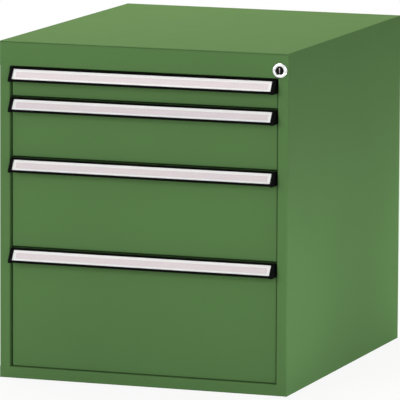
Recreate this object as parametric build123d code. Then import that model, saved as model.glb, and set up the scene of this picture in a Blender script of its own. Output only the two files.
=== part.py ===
"""Underbench drawer unit: a folded sheet steel cabinet with four drawers on telescopic slides.

Millimetres, +Z up, drawer fronts facing -Y, origin at the middle of the cabinet's base.
Each drawer carries a full width hooded handle with a label strip, and one cylinder lock
lifts a bar in the right-hand post that blocks all four drawers.
"""

import os

from build123d import *

# Cabinet
WIDTH = 500.0
DEPTH = 600.0
HEIGHT = 560.0
BAY_SHARES = (1, 2, 3, 4)
TOP_RAIL_HEIGHT = 41.0
BASE_RAIL_HEIGHT = 19.0
POST_WIDTH = 18.0
POST_DEPTH = 30.0
REAR_FLANGE = 15.0
BACK_SIDE_GAP = 1.0
SHEET = 1.25
BEND = 2.0
ROOF_EDGE = 0.8
TOP_RAIL_DEPTH = 27.0
TOP_RAIL_SEAT = 22.0
BASE_RETURN = 14.0
BASE_UPSTAND = 15.0
ANCHOR_RADIUS = 5.5
ANCHOR_INSET_X = 50.0
ANCHOR_INSET_Y = 60.0
OVERRUN = 5.0

# Uprights that carry the slides
UPRIGHT_WIDTH = 40.0
UPRIGHT_BAR_GAP = 8.5
UPRIGHT_BACK_INSET = 44.0
UPRIGHT_END_GAP = 3.0
UPRIGHT_SLOT_WIDTH = 5.0
UPRIGHT_SLOT_SHARE = 0.28
UPRIGHT_PITCH_SHARE = 0.5

# Telescopic slides, three nested channels on each side of a drawer
SLIDE_WIDTH = 13.0
SLIDE_HEIGHT_SHARE = 0.48
SLIDE_SHEET = 1.5
SLIDE_RISE_SHARE = 0.12
SLIDE_FRONT_GAP = 4.0
SLIDE_REAR_INSET = 22.0
RUN_CLEARANCE = 0.3
WEB_CLEARANCE = 0.5
CARRIAGE_SET_BACK = 2.0
CARRIAGE_REAR_INSET = 60.0

# Drawer fronts and trays
FRONT_RECESS = 6.0
FRONT_THICKNESS = 18.0
FRONT_SHEET = 1.25
FRONT_EDGE = 1.5
SIDE_GAP = 2.0
TOP_GAP = 1.75
BOTTOM_GAP = 0.75
WINDOW_RIM_SIDE = 25.0
WINDOW_RIM_END = 10.0
TRAY_SHEET = 1.0
TRAY_RISE = 5.0
TRAY_DROP = 6.0
TRAY_HEM = 8.0
BUFFER_RADIUS = 7.0
BUFFER_LENGTH = 13.0
BUFFER_GAP = 0.3
BUFFER_OFFSET = 150.0
BUFFER_RISE = 20.0

# Hooded handle with its label strip and end caps
HANDLE_TOP_DEPTH = 9.0
HANDLE_DEPTH = 21.5
HANDLE_HEIGHT = 22.3
HANDLE_NOSE = 3.0
HANDLE_TOP_WALL = 2.0
HANDLE_BACK_WALL = 2.0
HANDLE_FACE_WALL = 3.4
HANDLE_ROUND = 1.4
CAP_WIDTH = 6.0
CAP_PROUD = 0.5
CAP_ROUND = 1.0
LABEL_MARGIN_TOP = 2.4
LABEL_MARGIN_FOOT = 1.6
LABEL_LIP_OVERLAP = 1.0
LABEL_LIP = 0.8
CARD_THICKNESS = 0.4
COVER_THICKNESS = 0.8
LABEL_CLEARANCE = 0.1

# Lock
LOCK_INSET = 14.5
LOCK_RISE = 13.5
BARREL_RADIUS = 9.0
BARREL_CLEARANCE = 0.2
LOCK_FLANGE_RADIUS = 10.5
LOCK_FLANGE = 1.5
ROSETTE_RADIUS = 12.8
ROSETTE_RIM = 1.2
ROSETTE_HEIGHT = 4.8
ROSETTE_SHOULDER_RADIUS = 11.6
ROSETTE_SHOULDER_HEIGHT = 3.6
ROSETTE_CREST_RADIUS = 8.8
ROSETTE_HOLE_RADIUS = 7.2
ROSETTE_HOLE_DROP = 0.5
NUT_APOTHEM = 10.5
NUT_THICKNESS = 5.0
NUT_CLEARANCE = 0.1
PLUG_RADIUS = 6.5
PLUG_CLEARANCE = 0.3
PLUG_FACE = 3.6
PLUG_CHAMFER = 0.5
KEY_SLOT_WIDTH = 2.0
KEY_SLOT_HEIGHT = 9.0
KEY_SLOT_DEPTH = 9.0
TAIL_SIDE = 6.0
TAIL_CLEARANCE = 0.05
CAM_GAP = 0.3
CAM_SHEET = 2.5
CAM_RADIUS = 7.0
CAM_BOSS_RADIUS = 4.0
CRANK_RADIUS = 5.0
PIN_RADIUS = 2.0
PIN_LENGTH = 6.0

# Locking bar with one tab for each drawer
BAR_POST_GAP = 2.5
BAR_LOCK_GAP = 4.5
BAR_SHEET = 3.0
BAR_WIDTH = 12.5
BAR_SIDE_GAP = 1.75
BAR_FOOT = 12.0
BAR_HEAD = 9.0
BAR_SLOT_CLEARANCE = 0.4
BAR_SLOT_LENGTH = 7.0
TAB_LENGTH = 12.0
TAB_HEIGHT = 4.0
TAB_RISE_SHARE = 0.65
GUIDE_WALL = 2.0
GUIDE_HEIGHT = 12.0
GUIDE_CLEARANCE = 0.3
GUIDE_RISE = 70.0
GUIDE_BAYS = (1, 3)

# Catch on each drawer that the bar blocks
CATCH_SHEET = 2.0
CATCH_BEND = 3.0
CATCH_GAP = 2.5
CATCH_LENGTH = 30.0
CATCH_HEIGHT_SHARE = 0.1
CATCH_RISE_SHARE = 0.77
CATCH_TIP_GAP = 1.0

# Planes that several pieces share
HALF_WIDTH = WIDTH / 2
INNER_HALF = HALF_WIDTH - SHEET
OPENING_HALF = HALF_WIDTH - POST_WIDTH
FRONT_Y = -DEPTH / 2
BACK_Y = DEPTH / 2
BACK_INNER_Y = BACK_Y - 2 * SHEET
OPENING_LOW = BASE_RAIL_HEIGHT
OPENING_HIGH = HEIGHT - TOP_RAIL_HEIGHT
BAY_STEP = (OPENING_HIGH - OPENING_LOW) / sum(BAY_SHARES)
SLIDE_HALF = BAY_STEP * SLIDE_HEIGHT_SHARE / 2
SLIDE_MIDDLE = BAY_STEP * SLIDE_RISE_SHARE + SLIDE_HALF
ROOF_LOW = HEIGHT - SHEET
FRONT_HALF = OPENING_HALF - SIDE_GAP
FACE_Y = FRONT_Y + FRONT_RECESS
FRONT_BACK_Y = FACE_Y + FRONT_THICKNESS
TRAY_HALF = OPENING_HALF - SLIDE_WIDTH
TRAY_BACK_Y = BACK_INNER_Y - BUFFER_LENGTH - BUFFER_GAP
RAIL_FRONT_Y = FRONT_BACK_Y + SLIDE_FRONT_GAP
RAIL_BACK_Y = BACK_Y - SLIDE_REAR_INSET
LOCK_X = HALF_WIDTH - LOCK_INSET
LOCK_Z = OPENING_HIGH + LOCK_RISE
CRANK_OFFSET = CRANK_RADIUS / 2**0.5
BAR_Y = FRONT_Y + POST_DEPTH + BAR_POST_GAP
BAR_BACK_Y = BAR_Y + BAR_SHEET
LOCK_BACK_Y = BAR_Y - BAR_LOCK_GAP
CAM_Y = LOCK_BACK_Y + CAM_GAP
BAR_RIGHT = INNER_HALF - BAR_SIDE_GAP
BAR_LEFT = BAR_RIGHT - BAR_WIDTH


def bay_floors():
    """Lower level of each drawer bay, from the top bay down."""
    floors = []
    level = OPENING_HIGH
    for share in BAY_SHARES:
        level = level - share * BAY_STEP
        floors.append(level)
    return floors


def prism_x(face, low, high):
    """Push a section drawn in Y and Z along X."""
    return extrude(Plane.YZ.offset(low) * face, amount=high - low)


def prism_y(face, low, high):
    """Push a section drawn in X and Z along Y."""
    return extrude(Plane.XZ.offset(-high) * face, amount=high - low)


def prism_z(face, low, high):
    """Push a section drawn in X and Y along Z."""
    return extrude(Plane.XY.offset(low) * face, amount=high - low)


def area(u_low, u_high, v_low, v_high):
    """Rectangle between two pairs of coordinates."""
    return Pos((u_low + u_high) / 2, (v_low + v_high) / 2) * Rectangle(u_high - u_low, v_high - v_low)


def folded(points, sheet, bend):
    """Section of a folded sheet, from its middle line and the outside radius of its folds."""
    return trace(FilletPolyline(*points, radius=bend - sheet / 2), line_width=sheet)


def channel(web, tip, half, middle, sheet):
    """Section of a pressed channel: its web on one line, its flange tips on another, its folds cut off."""
    centre = (web + tip) / 2
    inward = sheet if tip > web else -sheet
    block = Pos(centre, middle) * Rectangle(abs(tip - web), 2 * half)
    block = chamfer(block.vertices().sort_by_distance((web, middle, 0))[:2], sheet)
    return block - Pos(centre + inward, middle) * Rectangle(abs(tip - web), 2 * (half - sheet))


def mirrored(shape):
    """The same piece on the other side of the cabinet."""
    return mirror(shape, about=Plane.YZ)


def side_panel():
    """Right side: the wall folds round the front into a post and round the back into a flange."""
    wall_x = HALF_WIDTH - SHEET / 2
    flange_y = BACK_Y - SHEET / 2
    post_y = FRONT_Y + SHEET / 2
    return_x = OPENING_HALF + SHEET / 2
    rear = [(HALF_WIDTH - REAR_FLANGE, flange_y), (wall_x, flange_y)]
    post = [(wall_x, post_y), (return_x, post_y), (return_x, FRONT_Y + POST_DEPTH)]
    plain = folded(rear + [(wall_x, FRONT_Y)], SHEET, BEND)
    panel = prism_z(folded(rear + post, SHEET, BEND), OPENING_LOW, OPENING_HIGH)
    panel += prism_z(plain, 0, OPENING_LOW)
    panel += prism_z(plain, OPENING_HIGH, ROOF_LOW)
    return panel


def top_panel():
    """Flat roof sheet with its upper outline softened."""
    roof = prism_z(area(-HALF_WIDTH, HALF_WIDTH, FRONT_Y, BACK_Y), ROOF_LOW, HEIGHT)
    return fillet(roof.faces().sort_by(Axis.Z)[-1].edges(), ROOF_EDGE)


def bottom_panel():
    """Floor sheet folded up at the back and up and over at the front, with four anchor holes."""
    back_y = BACK_INNER_Y - SHEET / 2
    front_y = FRONT_Y + SHEET / 2
    rail_z = BASE_RAIL_HEIGHT - SHEET / 2
    path = [(back_y, BASE_UPSTAND), (back_y, SHEET / 2), (front_y, SHEET / 2), (front_y, rail_z)]
    path.append((FRONT_Y + BASE_RETURN, rail_z))
    floor = prism_x(folded(path, SHEET, BEND), -INNER_HALF, INNER_HALF)
    for x in (ANCHOR_INSET_X - HALF_WIDTH, HALF_WIDTH - ANCHOR_INSET_X):
        for y in (FRONT_Y + ANCHOR_INSET_Y, BACK_Y - ANCHOR_INSET_Y):
            floor -= prism_z(Pos(x, y) * Circle(ANCHOR_RADIUS), -OVERRUN, OVERRUN)
    return floor


def back_panel():
    """Flat sheet behind the drawers, lying against the rear flanges of the sides."""
    half = INNER_HALF - BACK_SIDE_GAP
    return prism_z(area(-half, half, BACK_INNER_Y, BACK_Y - SHEET), 0, ROOF_LOW)


def top_rail():
    """Fascia above the drawers, folded back along both edges and bored for the lock."""
    low_z = OPENING_HIGH + SHEET / 2
    high_z = ROOF_LOW - SHEET / 2
    face_y = FRONT_Y + SHEET / 2
    path = [(FRONT_Y + TOP_RAIL_DEPTH, low_z), (face_y, low_z), (face_y, high_z)]
    path.append((FRONT_Y + TOP_RAIL_SEAT, high_z))
    rail = prism_x(folded(path, SHEET, BEND), -INNER_HALF, INNER_HALF)
    bore = Pos(LOCK_X, LOCK_Z) * Circle(BARREL_RADIUS + BARREL_CLEARANCE)
    return rail - prism_y(bore, FRONT_Y - OVERRUN, FRONT_Y + OVERRUN)


def upright(middle):
    """Right-hand channel between the side wall and the slides, slotted at every half bay step."""
    section = channel(OPENING_HALF, INNER_HALF, UPRIGHT_WIDTH / 2, middle, SHEET)
    post = prism_z(section, OPENING_LOW + UPRIGHT_END_GAP, OPENING_HIGH - UPRIGHT_END_GAP)
    pitch = BAY_STEP * UPRIGHT_PITCH_SHARE
    count = round((OPENING_HIGH - OPENING_LOW) / pitch) - 1
    row = GridLocations(0, pitch, 1, count) * Rectangle(UPRIGHT_SLOT_WIDTH, BAY_STEP * UPRIGHT_SLOT_SHARE)
    slots = [Pos(middle, (OPENING_LOW + OPENING_HIGH) / 2) * slot for slot in row]
    return post - prism_x(Sketch(children=slots), OPENING_HALF - OVERRUN, OPENING_HALF + OVERRUN)


def slide_members(floor):
    """Right-hand cabinet rail, carriage and runner of the drawer in one bay."""
    middle = floor + SLIDE_MIDDLE
    carriage_half = SLIDE_HALF - SLIDE_SHEET - RUN_CLEARANCE
    runner_half = carriage_half - SLIDE_SHEET - RUN_CLEARANCE
    carriage_web = OPENING_HALF - SLIDE_SHEET - WEB_CLEARANCE
    runner_tip = carriage_web - SLIDE_SHEET - WEB_CLEARANCE
    inner_tip = TRAY_HALF + SLIDE_SHEET + WEB_CLEARANCE
    carriage_front = RAIL_FRONT_Y + CARRIAGE_SET_BACK
    carriage_back = BACK_Y - CARRIAGE_REAR_INSET
    rail_section = channel(OPENING_HALF, inner_tip, SLIDE_HALF, middle, SLIDE_SHEET)
    carriage_section = channel(carriage_web, inner_tip, carriage_half, middle, SLIDE_SHEET)
    runner_section = channel(TRAY_HALF, runner_tip, runner_half, middle, SLIDE_SHEET)
    rail = prism_y(rail_section, RAIL_FRONT_Y, RAIL_BACK_Y)
    carriage = prism_y(carriage_section, carriage_front, carriage_back)
    runner = prism_y(runner_section, RAIL_FRONT_Y, RAIL_BACK_Y)
    return rail, carriage, runner


def drawer_front(floor, ceiling):
    """Double-skinned front, folded back on all sides with a window that the tray closes."""
    low = floor + BOTTOM_GAP
    high = ceiling - TOP_GAP
    inner = FRONT_HALF - FRONT_SHEET
    window = FRONT_HALF - WINDOW_RIM_SIDE
    front = prism_y(area(-FRONT_HALF, FRONT_HALF, low, high), FACE_Y, FRONT_BACK_Y)
    front = fillet(front.faces().sort_by(Axis.Y)[0].edges(), FRONT_EDGE)
    cavity = area(-inner, inner, low + FRONT_SHEET, high - FRONT_SHEET)
    front -= prism_y(cavity, FACE_Y + FRONT_SHEET, FRONT_BACK_Y - FRONT_SHEET)
    opening = area(-window, window, low + WINDOW_RIM_END, high - WINDOW_RIM_END)
    return front - prism_y(opening, FACE_Y + FRONT_THICKNESS / 2, FRONT_BACK_Y + OVERRUN)


def tray(floor, ceiling):
    """Open drawer body: one folded sheet for floor, sides and hems, and two end walls set into it."""
    low = floor + TRAY_RISE
    high = ceiling - TRAY_DROP
    inside = TRAY_HALF - TRAY_SHEET
    mouth = TRAY_HALF - TRAY_HEM
    outer = area(-TRAY_HALF, TRAY_HALF, low, high)
    wall = area(-inside, inside, low + TRAY_SHEET, high - TRAY_SHEET)
    section = chamfer(outer.vertices(), TRAY_SHEET) - wall
    section -= area(-mouth, mouth, high - OVERRUN, high + OVERRUN)
    body = prism_y(section, FRONT_BACK_Y, TRAY_BACK_Y)
    front_wall = prism_y(wall, FRONT_BACK_Y, FRONT_BACK_Y + TRAY_SHEET)
    back_wall = prism_y(wall, TRAY_BACK_Y - TRAY_SHEET, TRAY_BACK_Y)
    return Compound(children=[body, front_wall, back_wall])


def handle_outline(top):
    """Outer outline of the hood in Y and Z: flat top, sloping label face and a short nose."""
    corners = [
        (FACE_Y, top),
        (FACE_Y - HANDLE_TOP_DEPTH, top),
        (FACE_Y - HANDLE_DEPTH, top - HANDLE_HEIGHT + HANDLE_NOSE),
        (FACE_Y - HANDLE_DEPTH, top - HANDLE_HEIGHT),
        (FACE_Y, top - HANDLE_HEIGHT),
    ]
    return make_face(Polyline(*corners, close=True))


def label_plane(top):
    """Plane of the sloping face: its X runs down the slope and its Z points outward."""
    shoulder = Vector(0, FACE_Y - HANDLE_TOP_DEPTH, top)
    nose = Vector(0, FACE_Y - HANDLE_DEPTH, top - HANDLE_HEIGHT + HANDLE_NOSE)
    down = (nose - shoulder).normalized()
    return Plane(origin=shoulder, x_dir=down, z_dir=down.cross(Vector(1, 0, 0))), (nose - shoulder).length


def on_slope(top, start, end, half, depth, thickness):
    """Flat bar lying in the sloping face between two distances down the slope, at one depth."""
    plane, _ = label_plane(top)
    base = plane.offset(-depth - thickness)
    return extrude(base * area(start, end, -half, half), amount=thickness)


def handle_pieces(ceiling):
    """Hood, label card, label cover and right end cap of one drawer."""
    top = ceiling - TOP_GAP
    foot = top - HANDLE_HEIGHT
    half = FRONT_HALF - CAP_WIDTH
    outline = handle_outline(top)
    shoulder = outline.vertices().sort_by_distance((FACE_Y - HANDLE_TOP_DEPTH, top, 0))[0]
    section = fillet(shoulder, HANDLE_ROUND)
    nose_corner = (FACE_Y - HANDLE_DEPTH, foot, 0)
    section = fillet(section.vertices().sort_by_distance(nose_corner)[0], HANDLE_ROUND)
    plane, slope = label_plane(top)
    inner = plane.offset(-HANDLE_FACE_WALL)
    run = inner.x_dir.Y / inner.x_dir.Z
    roof_z = top - HANDLE_TOP_WALL
    mouth_z = foot - OVERRUN
    roof_y = inner.origin.Y + (roof_z - inner.origin.Z) * run
    mouth_y = inner.origin.Y + (mouth_z - inner.origin.Z) * run
    back_y = FACE_Y - HANDLE_BACK_WALL
    hollow = make_face(
        Polyline((back_y, roof_z), (roof_y, roof_z), (mouth_y, mouth_z), (back_y, mouth_z), close=True)
    )
    hood = prism_x(section - hollow, -half, half)
    start = LABEL_MARGIN_TOP
    end = slope - LABEL_MARGIN_FOOT
    wide_start = start - LABEL_LIP_OVERLAP
    wide_end = end + LABEL_LIP_OVERLAP
    groove = CARD_THICKNESS + COVER_THICKNESS + LABEL_CLEARANCE
    hood -= on_slope(top, start, end, half + OVERRUN, -OVERRUN, LABEL_LIP + OVERRUN)
    hood -= on_slope(top, wide_start, wide_end, half + OVERRUN, LABEL_LIP, groove)
    card_start = wide_start + LABEL_CLEARANCE
    card_end = wide_end - LABEL_CLEARANCE
    card_depth = LABEL_LIP + groove - CARD_THICKNESS
    cover_depth = card_depth - COVER_THICKNESS
    card = on_slope(top, card_start, card_end, half, card_depth, CARD_THICKNESS)
    cover = on_slope(top, card_start, card_end, half, cover_depth, COVER_THICKNESS)
    limit = area(FACE_Y - HANDLE_DEPTH - OVERRUN, FACE_Y, foot - OVERRUN, top)
    cap_section = offset(outline, amount=CAP_PROUD, kind=Kind.INTERSECTION) & limit
    cap = prism_x(cap_section, half, FRONT_HALF)
    cap_edges = cap.faces().sort_by(Axis.X)[-1].edges().filter_by_position(
        Axis.Y, FACE_Y - HANDLE_DEPTH - CAP_PROUD, FACE_Y - CAP_ROUND
    )
    cap = fillet(cap_edges, CAP_ROUND)
    return hood, card, cover, cap


def lock_catch(floor):
    """Small angle on the right of the tray whose lug the locking bar's tab blocks."""
    lug_y = BAR_BACK_Y + CATCH_GAP + CATCH_SHEET / 2
    plate_x = TRAY_HALF + CATCH_SHEET / 2
    path = [(FRONT_HALF - CATCH_TIP_GAP, lug_y), (plate_x, lug_y), (plate_x, lug_y + CATCH_LENGTH)]
    low = floor + BAY_STEP * CATCH_RISE_SHARE
    high = low + BAY_STEP * CATCH_HEIGHT_SHARE
    return prism_z(folded(path, CATCH_SHEET, CATCH_BEND), low, high)


def drawer_buffers(floors):
    """Two rubber stops on the back panel behind each tray."""
    stops = []
    for floor in floors:
        for x in (-BUFFER_OFFSET, BUFFER_OFFSET):
            section = Pos(x, floor + BUFFER_RISE) * Circle(BUFFER_RADIUS)
            stops.append(prism_y(section, BACK_INNER_Y - BUFFER_LENGTH, BACK_INNER_Y))
    return Compound(children=stops)


def on_lock_axis(radius, low, high):
    """Cylinder round the lock's axis between two depths."""
    return prism_y(Pos(LOCK_X, LOCK_Z) * Circle(radius), low, high)


def lock_rosette():
    """Raised ring turned about the lock's axis, hollowed behind for the lock's flange."""
    seat = LOCK_FLANGE_RADIUS + BARREL_CLEARANCE
    corners = [
        (ROSETTE_RADIUS, 0),
        (ROSETTE_RADIUS, ROSETTE_RIM),
        (ROSETTE_SHOULDER_RADIUS, ROSETTE_SHOULDER_HEIGHT),
        (ROSETTE_CREST_RADIUS, ROSETTE_HEIGHT),
        (ROSETTE_HOLE_RADIUS, ROSETTE_HEIGHT - ROSETTE_HOLE_DROP),
        (ROSETTE_HOLE_RADIUS, LOCK_FLANGE),
        (seat, LOCK_FLANGE),
        (seat, 0),
    ]
    ring = revolve(make_face(Polyline(*corners, close=True)), Axis.Y)
    return Pos(LOCK_X, FRONT_Y, LOCK_Z) * Rot(180, 0, 0) * ring


def lock_body():
    """Barrel through the fascia with a front flange, bored for the plug."""
    body = on_lock_axis(BARREL_RADIUS, FRONT_Y, LOCK_BACK_Y)
    body += on_lock_axis(LOCK_FLANGE_RADIUS, FRONT_Y - LOCK_FLANGE, FRONT_Y)
    return body - on_lock_axis(PLUG_RADIUS + PLUG_CLEARANCE, FRONT_Y - OVERRUN, LOCK_BACK_Y + OVERRUN)


def lock_nut():
    """Hexagon nut that clamps the barrel from behind the fascia."""
    hexagon = RegularPolygon(NUT_APOTHEM, 6, major_radius=False)
    section = hexagon - Circle(BARREL_RADIUS + NUT_CLEARANCE)
    return prism_y(Pos(LOCK_X, LOCK_Z) * section, FRONT_Y + SHEET, FRONT_Y + SHEET + NUT_THICKNESS)


def lock_plug():
    """Turning plug with an upright key slot in front and a square tail behind."""
    plug = on_lock_axis(PLUG_RADIUS, FRONT_Y - PLUG_FACE, LOCK_BACK_Y)
    plug = chamfer(plug.faces().sort_by(Axis.Y)[0].edges(), PLUG_CHAMFER)
    slot = Pos(LOCK_X, LOCK_Z) * Rectangle(KEY_SLOT_WIDTH, KEY_SLOT_HEIGHT)
    plug -= prism_y(slot, FRONT_Y - PLUG_FACE - OVERRUN, FRONT_Y - PLUG_FACE + KEY_SLOT_DEPTH)
    tail = Pos(LOCK_X, LOCK_Z) * Rectangle(TAIL_SIDE, TAIL_SIDE)
    return plug + prism_y(tail, LOCK_BACK_Y, CAM_Y + CAM_SHEET)


def lock_cam():
    """Plate on the plug's tail with a crank pin that lifts the bar."""
    crank = Pos(LOCK_X + CRANK_OFFSET, LOCK_Z - CRANK_OFFSET)
    centre = Pos(LOCK_X, LOCK_Z)
    hole = TAIL_SIDE + 2 * TAIL_CLEARANCE
    section = centre * Circle(CAM_RADIUS) + crank * Circle(CAM_BOSS_RADIUS) - centre * Rectangle(hole, hole)
    cam = prism_y(section, CAM_Y, CAM_Y + CAM_SHEET)
    return cam + prism_y(crank * Circle(PIN_RADIUS), CAM_Y + CAM_SHEET, CAM_Y + CAM_SHEET + PIN_LENGTH)


def locking_bar(floors):
    """Flat bar with a crosswise slot for the crank pin and a tab level with each drawer's catch."""
    section = area(BAR_LEFT, BAR_RIGHT, OPENING_LOW + BAR_FOOT, LOCK_Z + BAR_HEAD)
    for floor in floors:
        low = floor + BAY_STEP * TAB_RISE_SHARE
        section += area(BAR_LEFT - TAB_LENGTH, BAR_LEFT, low, low + TAB_HEIGHT)
    slot_x = LOCK_X + (CRANK_OFFSET + CRANK_RADIUS) / 2
    slot_height = 2 * (PIN_RADIUS + BAR_SLOT_CLEARANCE)
    section -= Pos(slot_x, LOCK_Z - CRANK_OFFSET) * Rectangle(BAR_SLOT_LENGTH, slot_height)
    return prism_y(section, BAR_Y, BAR_BACK_Y)


def bar_guides(floors):
    """Two plastic guides on the right wall that the locking bar slides through."""
    left = BAR_LEFT - GUIDE_CLEARANCE
    right = BAR_RIGHT + GUIDE_CLEARANCE
    front = BAR_Y - GUIDE_CLEARANCE
    back = BAR_BACK_Y + GUIDE_CLEARANCE
    section = area(left - GUIDE_WALL, INNER_HALF, front - GUIDE_WALL, back + GUIDE_WALL)
    section -= area(left, right, front, back)
    guides = []
    for bay in GUIDE_BAYS:
        low = floors[bay] + GUIDE_RISE
        guides.append(prism_z(section, low, low + GUIDE_HEIGHT))
    return Compound(children=guides)


def cabinet_nodes(floors, rails):
    """Every piece that stays with the cabinet."""
    front_upright = upright(BAR_BACK_Y + UPRIGHT_BAR_GAP + UPRIGHT_WIDTH / 2)
    rear_upright = upright(BACK_Y - UPRIGHT_BACK_INSET - UPRIGHT_WIDTH / 2)
    right_side = side_panel()
    return {
        "left_side_panel": mirrored(right_side),
        "right_side_panel": right_side,
        "top_panel": top_panel(),
        "bottom_panel": bottom_panel(),
        "back_panel": back_panel(),
        "top_rail": top_rail(),
        "left_front_upright": mirrored(front_upright),
        "right_front_upright": front_upright,
        "left_rear_upright": mirrored(rear_upright),
        "right_rear_upright": rear_upright,
        "left_cabinet_rails": Compound(children=[mirrored(rail) for rail in rails]),
        "right_cabinet_rails": Compound(children=rails),
        "lock_rosette": lock_rosette(),
        "lock_body": lock_body(),
        "lock_nut": lock_nut(),
        "bar_guides": bar_guides(floors),
        "drawer_buffers": drawer_buffers(floors),
    }


def lock_nodes(floors):
    """The turning and sliding pieces of the lock."""
    return {"lock_plug": lock_plug(), "lock_cam": lock_cam(), "locking_bar": locking_bar(floors)}


def drawer_nodes(name, floor, ceiling, carriage, runner):
    """Every piece that travels with one drawer, and its two carriages."""
    hood, card, cover, cap = handle_pieces(ceiling)
    return {
        f"{name}_front": drawer_front(floor, ceiling),
        f"{name}_tray": tray(floor, ceiling),
        f"{name}_handle": hood,
        f"{name}_label_card": card,
        f"{name}_label_cover": cover,
        f"{name}_left_end_cap": mirrored(cap),
        f"{name}_right_end_cap": cap,
        f"{name}_runners": Compound(children=[mirrored(runner), runner]),
        f"{name}_lock_catch": lock_catch(floor),
        f"{name}_carriages": Compound(children=[mirrored(carriage), carriage]),
    }


def main():
    """Build every node and write one file for each."""
    floors = bay_floors()
    members = [slide_members(floor) for floor in floors]
    nodes = cabinet_nodes(floors, [rail for rail, _, _ in members])
    nodes.update(lock_nodes(floors))
    ceiling = OPENING_HIGH
    for number, (floor, (_, carriage, runner)) in enumerate(zip(floors, members), start=1):
        nodes.update(drawer_nodes(f"drawer_{number}", floor, ceiling, carriage, runner))
        ceiling = floor
    os.makedirs("parts", exist_ok=True)
    for name, shape in nodes.items():
        export_step(shape, f"parts/{name}.step")


if __name__ == "__main__":
    main()
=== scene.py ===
"""Dress and photograph the underbench drawer unit.

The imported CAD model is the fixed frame. Each sub-assembly is a class that dresses its own
nodes and adds the small pieces that the solids leave out, and each finish is a frozen class
that writes one procedural material. Lengths are metres, +Z is up and the drawers face -Y.
"""

import logging
import math
from dataclasses import dataclass, field
from enum import Enum
from typing import Any, Iterable, Union

import bpy
import numpy as np
from mathutils import Euler, Matrix, Vector


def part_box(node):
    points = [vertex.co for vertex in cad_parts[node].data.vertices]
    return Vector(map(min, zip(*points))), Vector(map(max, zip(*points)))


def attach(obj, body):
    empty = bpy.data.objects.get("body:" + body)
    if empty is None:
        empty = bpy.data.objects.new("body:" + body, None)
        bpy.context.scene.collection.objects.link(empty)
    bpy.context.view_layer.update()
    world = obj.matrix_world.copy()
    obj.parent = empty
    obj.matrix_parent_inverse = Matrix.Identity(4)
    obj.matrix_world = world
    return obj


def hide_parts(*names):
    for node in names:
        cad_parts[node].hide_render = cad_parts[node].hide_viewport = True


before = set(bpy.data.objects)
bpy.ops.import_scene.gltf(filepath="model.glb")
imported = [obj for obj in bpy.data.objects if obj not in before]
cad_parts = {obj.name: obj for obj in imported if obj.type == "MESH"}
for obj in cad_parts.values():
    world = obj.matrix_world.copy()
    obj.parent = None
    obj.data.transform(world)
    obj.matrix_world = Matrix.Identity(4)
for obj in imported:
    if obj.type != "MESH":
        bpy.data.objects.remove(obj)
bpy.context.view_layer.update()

LOG = logging.getLogger("drawer_unit")
Triple = tuple[float, float, float]
Ordinate = Union[float, np.ndarray]

MM = 0.001
DRAWER_COUNT = 4
SHARP_FOLD = math.radians(40.0)
EVEN = (1.0, 1.0, 1.0)
ORIGIN = (0.0, 0.0, 0.0)
RIGHTWARD = np.array([1.0, 0.0, 0.0])
WHITE = (1.0, 1.0, 1.0)
WARM_WHITE = (1.0, 0.88, 0.78)
OPAQUE = 1.0
NOISE_MIDDLE = 0.5

# The curve of screen colours: a straight foot up to the knee, then an offset power.
SCREEN_WHITE = 255.0
SCREEN_KNEE = 0.04045
SCREEN_SLOPE = 12.92
SCREEN_OFFSET = 0.055
SCREEN_POWER = 2.4

# Places of the colour sockets on a Mix node.
MIX_SHARE = 0
MIX_LOW = 6
MIX_HIGH = 7
MIX_RESULT = 2

# Points that the studio lights are aimed at.
UNIT_MIDDLE = (0.0, 0.0, 0.3)
FRONT_FOOT = (0.25, -0.32, 0.05)
BACK_FOOT = (0.25, 0.32, 0.05)


def srgb(red: int, green: int, blue: int) -> Triple:
    """Turn a colour picked on a screen into the linear values that shaders use.

    Args:
        red: Red from 0 to 255.
        green: Green from 0 to 255.
        blue: Blue from 0 to 255.

    Returns:
        The three linear values from 0 to 1.
    """
    share = np.array([red, green, blue]) / SCREEN_WHITE
    curve = ((share + SCREEN_OFFSET) / (1 + SCREEN_OFFSET)) ** SCREEN_POWER
    linear = np.where(share <= SCREEN_KNEE, share / SCREEN_SLOPE, curve)
    return tuple(float(value) for value in linear)


def around(colour: Triple, change: float) -> tuple[Triple, Triple]:
    """A darker and a lighter version of a colour."""
    return tuple(c * (1 - change) for c in colour), tuple(c * (1 + change) for c in colour)


class Tint(Enum):
    """Colours of the unit's finishes, as a screen shows them."""

    LEAF_GREEN = (85, 120, 72)
    LIGHT_GREY = (196, 200, 199)
    ZINC = (186, 188, 191)
    ANODISED_BLACK = (6, 6, 7)
    MOULDED_BLACK = (8, 8, 9)
    RUBBER_BLACK = (26, 26, 26)
    CLEAR = (248, 248, 250)
    NICKEL = (226, 228, 226)
    # Near-black plug: a dark plug darkened further with painted shade, standing in for the shade inside
    # the lock's recess.
    PLUG_SHADE_BLACK = (13, 11, 12)
    SHUTTER_STEEL = (168, 156, 160)
    PAPER = (253, 253, 253)
    PRINT_COOL = (235, 227, 230)
    PRINT_WARM = (238, 225, 229)

    @property
    def linear(self) -> Triple:
        """The colour in the linear values that shaders use."""
        return srgb(*self.value)


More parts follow.
